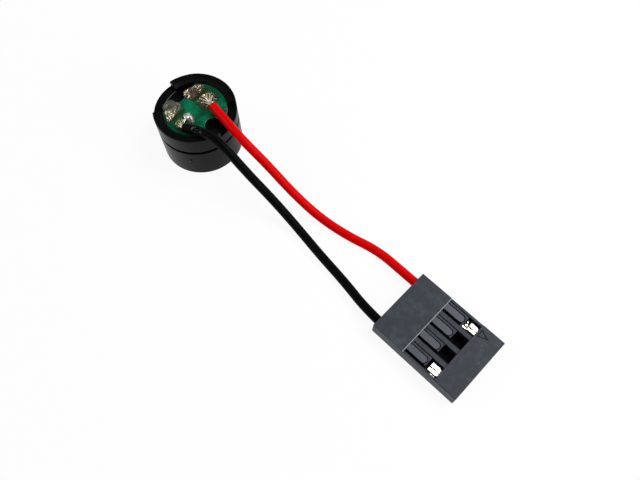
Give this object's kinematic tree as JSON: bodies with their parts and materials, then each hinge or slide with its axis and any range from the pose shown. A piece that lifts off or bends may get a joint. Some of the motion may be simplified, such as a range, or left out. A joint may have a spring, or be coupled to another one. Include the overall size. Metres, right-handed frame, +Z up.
{
  "type": "motherboard buzzer speaker",
  "caption": "Round magnetic buzzer with its circuit board facing up, a red and a black lead soldered on, and a flat crimp header socket at their far end.",
  "frame": {"origin": "centre of the sound face that the buzzer stands on", "axes": "+Z up along the buzzer's axis towards its circuit board; +X along the header socket, towards its pin holes"},
  "size_m": [0.0592, 0.012, 0.0098],
  "materials": {
    "case_plastic": "satin black moulded plastic",
    "housing_plastic": "dark grey moulded plastic",
    "board": "green solder mask on glass-fibre board",
    "red_pvc": "red extruded insulation",
    "black_pvc": "black extruded insulation",
    "steel": "plated steel",
    "magnet": "sintered ferrite",
    "copper": "bare and enamelled copper",
    "solder": "soft solder",
    "tinned_copper": "tin plated"
  },
  "bodies": {
    "root": {"front_case": "case_plastic", "rear_case": "case_plastic", "diaphragm": "steel", "diaphragm_weight": "steel", "spacer_ring": "case_plastic", "ring_magnet": "magnet", "yoke_plate": "steel", "pole_core": "steel", "coil": "copper", "circuit_board": "board", "red_copper_land": "copper", "black_copper_land": "copper", "solder_coil_red_side": "solder", "solder_coil_black_side": "solder", "solder_red_lead": "solder", "solder_black_lead": "solder", "red_insulation": "red_pvc", "black_insulation": "black_pvc", "red_conductor": "tinned_copper", "black_conductor": "tinned_copper", "connector_housing": "housing_plastic", "red_terminal": "tinned_copper", "black_terminal": "tinned_copper"}
  },
  "joints": []
}
